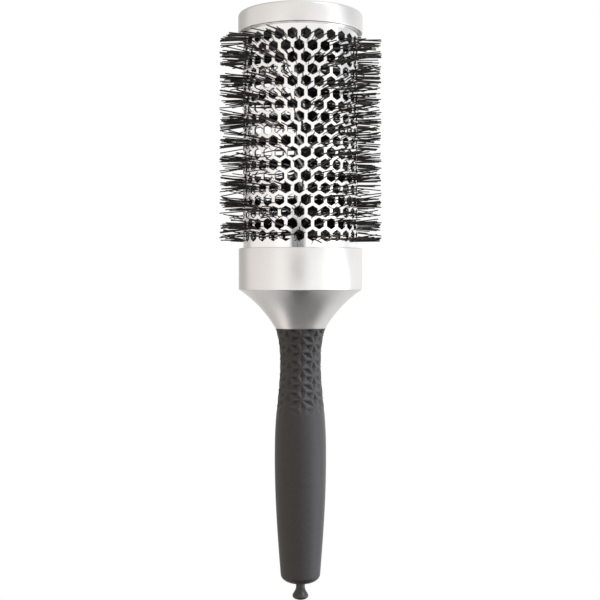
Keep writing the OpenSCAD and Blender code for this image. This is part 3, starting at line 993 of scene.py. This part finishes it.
class BRUSH_OT_stage(bpy.types.Operator):
    """Set the pale floor, the studio light and the camera"""

    bl_idname = "brush.stage"
    bl_label = "Stage"

    def execute(self, context):
        settings = context.scene.brush_stage
        context.scene.view_settings.view_transform = "Standard"
        self.floor(settings, context.scene.brush_colours.floor)
        self.world(context.scene, settings)
        self.lamps(settings)
        self.camera(context.scene, settings)
        return {"FINISHED"}

    def floor(self, settings, base):
        """Pale round floor that fades into the white around it."""
        disc = added(
            bpy.ops.mesh.primitive_circle_add, "floor", vertices=FLOOR_CORNERS,
            radius=settings.floor_radius, fill_type="NGON", location=(0, 0, -settings.floor_drop),
        )
        material = bpy.data.materials.new("pale_floor")
        material.use_nodes = True
        tree = material.node_tree
        tree.nodes.clear()
        place = add_node(tree, "ShaderNodeTexCoord").outputs["Object"]
        away = add_node(tree, "ShaderNodeVectorMath", {0: place}, operation="LENGTH")
        start, end = (settings.floor_radius * part for part in FLOOR_FADE)
        fade = map_range(tree, away.outputs["Value"], start, end, smooth=True)
        pale = add_node(tree, "ShaderNodeBsdfDiffuse", {"Color": (*base, 1)}).outputs["BSDF"]
        clear = add_node(tree, "ShaderNodeBsdfTransparent").outputs["BSDF"]
        faded = mix_shaders(tree, fade, pale, clear)
        add_node(tree, "ShaderNodeOutputMaterial", {"Surface": faded})
        disc.data.materials.append(material)
        disc.visible_glossy = False
        disc.visible_diffuse = False

    def world(self, scene, settings):
        """White around the brush; a studio in reflections, and soft light on matt surfaces."""
        world = bpy.data.worlds.new("studio")
        world.use_nodes = True
        scene.world = world
        tree = world.node_tree
        tree.nodes.clear()
        way = add_node(tree, "ShaderNodeTexCoord").outputs["Generated"]
        part = add_node(tree, "ShaderNodeSeparateXYZ", {"Vector": way}).outputs
        turn = self.azimuth(tree, part)
        light = self.ramp(tree, turn, STUDIO_BELOW)
        for low, high, lights in STUDIO_RINGS:
            rise = map_range(tree, part["Z"], low, high, smooth=True)
            light = mix_colours(tree, rise, light, self.ramp(tree, turn, lights))
        for patch in STUDIO_PATCHES:
            light = self.patch(tree, way, light, *patch)
        shown = self.background(tree, rgba(1.0))
        gloss = self.background(tree, light)
        soft = self.background(tree, self.soft_light(tree, part), settings.ambient)
        path = add_node(tree, "ShaderNodeLightPath").outputs
        seen = compute(tree, "MAXIMUM", path["Is Camera Ray"], path["Is Transmission Ray"])
        lit = mix_shaders(tree, path["Is Glossy Ray"], soft, gloss)
        last = mix_shaders(tree, seen, lit, shown)
        add_node(tree, "ShaderNodeOutputWorld", {"Surface": last})

    def background(self, tree, light, strength=1.0):
        """Shader of a light all around."""
        inputs = {"Color": light, "Strength": strength}
        return add_node(tree, "ShaderNodeBackground", inputs).outputs[0]

    def soft_light(self, tree, part):
        """Light for matt surfaces: bright above, dim below and in front, warmer on the left."""
        rise = map_range(tree, part["Z"], *SOFT_HEIGHT, smooth=True)
        front = map_range(tree, part["Y"], *SOFT_FRONT)
        side = map_range(tree, part["X"], -1.0, 1.0)
        tone = mix_colours(tree, side, rgba(SOFT_LEFT), rgba(SOFT_RIGHT))
        inputs = {0: tone, "Scale": compute(tree, "MULTIPLY", rise, front)}
        dim = add_node(tree, "ShaderNodeVectorMath", inputs, operation="SCALE")
        return dim.outputs["Vector"]

    def azimuth(self, tree, part):
        """Turn of a direction: a half in front, more to the right, 0 and 1 behind."""
        front = compute(tree, "MULTIPLY", part["Y"], -1.0)
        turn = compute(tree, "ARCTAN2", part["X"], front)
        return map_range(tree, turn, -math.pi, math.pi)

    def ramp(self, tree, turn, lights):
        """Light around the studio by turn in degrees. The ramp's two ends meet behind."""
        node = add_node(tree, "ShaderNodeValToRGB", {"Fac": turn})
        marks = node.color_ramp.elements
        for mark in marks:
            mark.color = rgba(lights[BEHIND])
        for degrees, light in lights.items():
            if degrees != BEHIND:
                marks.new((degrees + 180) / 360).color = rgba(light)
        return node.outputs["Color"]

    def patch(self, tree, way, light, turn, rise, inner, outer, inside):
        """A round patch of another light in the studio, with a soft edge; angles in degrees."""
        turn, rise = math.radians(turn), math.radians(rise)
        middle = on_barrel(math.cos(rise), turn, math.sin(rise))
        near = add_node(tree, "ShaderNodeVectorMath", {0: way, 1: middle}, operation="DOT_PRODUCT")
        start, full = math.cos(math.radians(outer)), math.cos(math.radians(inner))
        edge = map_range(tree, near.outputs["Value"], start, full, smooth=True)
        return mix_colours(tree, edge, light, rgba(inside))

    def lamps(self, settings):
        """Soft boxes, turned to the brush at the camera's height."""
        target = Vector((0, 0, self.eye_level(settings)))
        for name, turn, height, distance, size, power, light in SOFT_BOXES:
            place = on_barrel(distance, math.radians(turn), height)
            lamp = added(bpy.ops.object.light_add, name, type="AREA", location=place)
            lamp.rotation_euler = (target - place).to_track_quat("-Z", "Y").to_euler()
            lamp.data.shape = "RECTANGLE"
            lamp.data.size, lamp.data.size_y = size
            lamp.data.energy = power
            lamp.data.color = light
            lamp.visible_glossy = False
            lamp.visible_camera = False

    def eye_level(self, settings):
        """Height of the camera."""
        return span("collar")[2] - settings.eye_drop

    def camera(self, scene, settings):
        """Camera at eye level in front of the brush."""
        place = (settings.camera_aside, -settings.camera_distance, self.eye_level(settings))
        camera = added(
            bpy.ops.object.camera_add, "camera", location=place, rotation=(math.pi / 2, 0, 0),
        )
        camera.data.lens = settings.lens
        camera.data.sensor_width = SENSOR_WIDTH
        camera.data.shift_y = settings.shift
        scene.camera = camera


GROUPS = {
    "brush_barrel": BarrelSizes,
    "brush_bristles": BristleSizes,
    "brush_ends": EndSizes,
    "brush_grip": GripSizes,
    "brush_pick": PickSizes,
    "brush_colours": FinishColours,
    "brush_stage": StageSettings,
}
OPERATORS = (
    BRUSH_OT_stage,
    BRUSH_OT_end_cap,
    BRUSH_OT_barrel,
    BRUSH_OT_core_wires,
    BRUSH_OT_bristles,
    BRUSH_OT_collar,
    BRUSH_OT_grip,
    BRUSH_OT_pick_bush,
    BRUSH_OT_pick,
    BRUSH_OT_inner_parts,
)


class BRUSH_PT_pieces(bpy.types.Panel):
    """Lists the pieces of the brush and their sizes"""

    bl_label = "Round barrel brush"
    bl_idname = "BRUSH_PT_pieces"
    bl_space_type = "VIEW_3D"
    bl_region_type = "UI"
    bl_category = "Brush"

    def draw(self, context):
        column = self.layout.column(align=True)
        for operator in OPERATORS:
            column.operator(operator.bl_idname)
        for name, group in GROUPS.items():
            box = self.layout.box()
            box.label(text=group.__doc__)
            for size in group.__annotations__:
                box.prop(getattr(context.scene, name), size)


def register():
    """Register the sizes, the operators and the panel."""
    for name, group in GROUPS.items():
        bpy.utils.register_class(group)
        setattr(bpy.types.Scene, name, PointerProperty(type=group))
    for operator in OPERATORS:
        bpy.utils.register_class(operator)
    bpy.utils.register_class(BRUSH_PT_pieces)


def unregister():
    """Remove them again."""
    bpy.utils.unregister_class(BRUSH_PT_pieces)
    for operator in reversed(OPERATORS):
        bpy.utils.unregister_class(operator)
    for name, group in GROUPS.items():
        delattr(bpy.types.Scene, name)
        bpy.utils.unregister_class(group)


def main():
    """Register the classes, make the pieces in order and leave nothing selected."""
    register()
    bpy.ops.brush.stage()
    bpy.ops.brush.end_cap()
    bpy.ops.brush.barrel()
    bpy.ops.brush.core_wires()
    bpy.ops.brush.bristles()
    bpy.ops.brush.collar()
    bpy.ops.brush.grip()
    bpy.ops.brush.pick_bush()
    bpy.ops.brush.pick()
    bpy.ops.brush.inner_parts()
    deselect()


if __name__ == "__main__":
    main()
